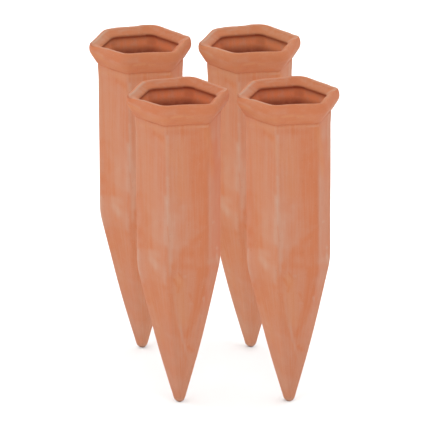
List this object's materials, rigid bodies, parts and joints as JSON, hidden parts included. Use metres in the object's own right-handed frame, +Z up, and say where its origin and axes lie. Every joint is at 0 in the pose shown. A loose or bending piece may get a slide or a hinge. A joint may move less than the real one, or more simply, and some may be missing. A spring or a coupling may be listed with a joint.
{
  "type": "watering spike set",
  "caption": "Hollow hexagonal clay watering spikes with pointed ends and flared, dished collars that take an upturned bottle and let water seep into soil.",
  "frame": {"origin": "midway between the four spikes, at the level of their points", "axes": "+Z up, out of the mouths. The pairs run along X, and -Y is the side that the picture was taken from"},
  "size_m": [0.1424, 0.1616, 0.185],
  "materials": {
    "terracotta": "unglazed slip-cast clay, dry and matt, with wiped streaks and pale lime bloom along the corners"
  },
  "bodies": {
    "front_left": {"spike_front_left": "terracotta"},
    "front_right": {"spike_front_right": "terracotta"},
    "back_left": {"spike_back_left": "terracotta"},
    "back_right": {"spike_back_right": "terracotta"}
  },
  "joints": [
    {"name": "lift_front_right", "type": "slide", "parent": "front_left", "child": "front_right", "axis": [0, 0, 1], "range_m": [0, 0.19]},
    {"name": "lift_back_left", "type": "slide", "parent": "front_left", "child": "back_left", "axis": [0, 0, 1], "range_m": [0, 0.19]},
    {"name": "lift_back_right", "type": "slide", "parent": "front_left", "child": "back_right", "axis": [0, 0, 1], "range_m": [0, 0.19]}
  ]
}
